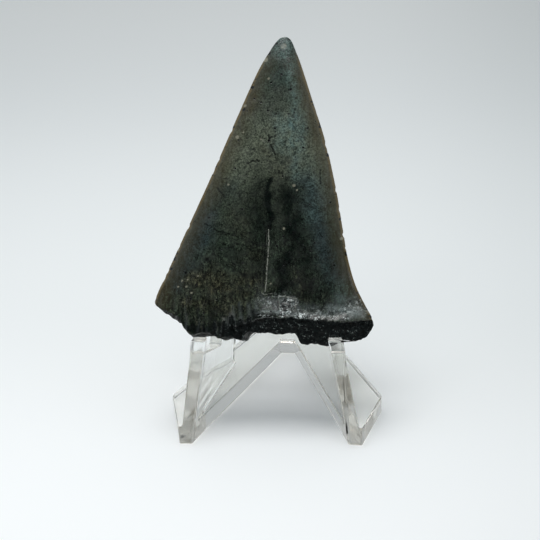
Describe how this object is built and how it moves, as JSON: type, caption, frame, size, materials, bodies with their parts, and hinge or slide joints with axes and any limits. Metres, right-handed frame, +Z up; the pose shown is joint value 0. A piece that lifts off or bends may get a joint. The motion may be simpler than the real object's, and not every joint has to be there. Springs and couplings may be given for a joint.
{
  "type": "megalodon tooth on a display stand",
  "caption": "Fossil shark tooth crown with a broken base, leaning on a clear one-piece V-shaped display easel.",
  "frame": {"origin": "bottom centre of the bounding box of the tooth and its stand, on the surface that the stand rests on", "axes": "+Z up, -Y towards the viewer of the displayed face, +X to that viewer's right"},
  "size_m": [0.061, 0.064, 0.1011],
  "materials": {
    "tooth": "dark grey-green fossil enamel, satin to glossy, with a rough black fracture along the base",
    "stand": "clear polished acrylic, faint warm grey seen through its long dimension"
  },
  "bodies": {
    "root": {"tooth": "tooth", "stand": "stand"}
  },
  "joints": []
}
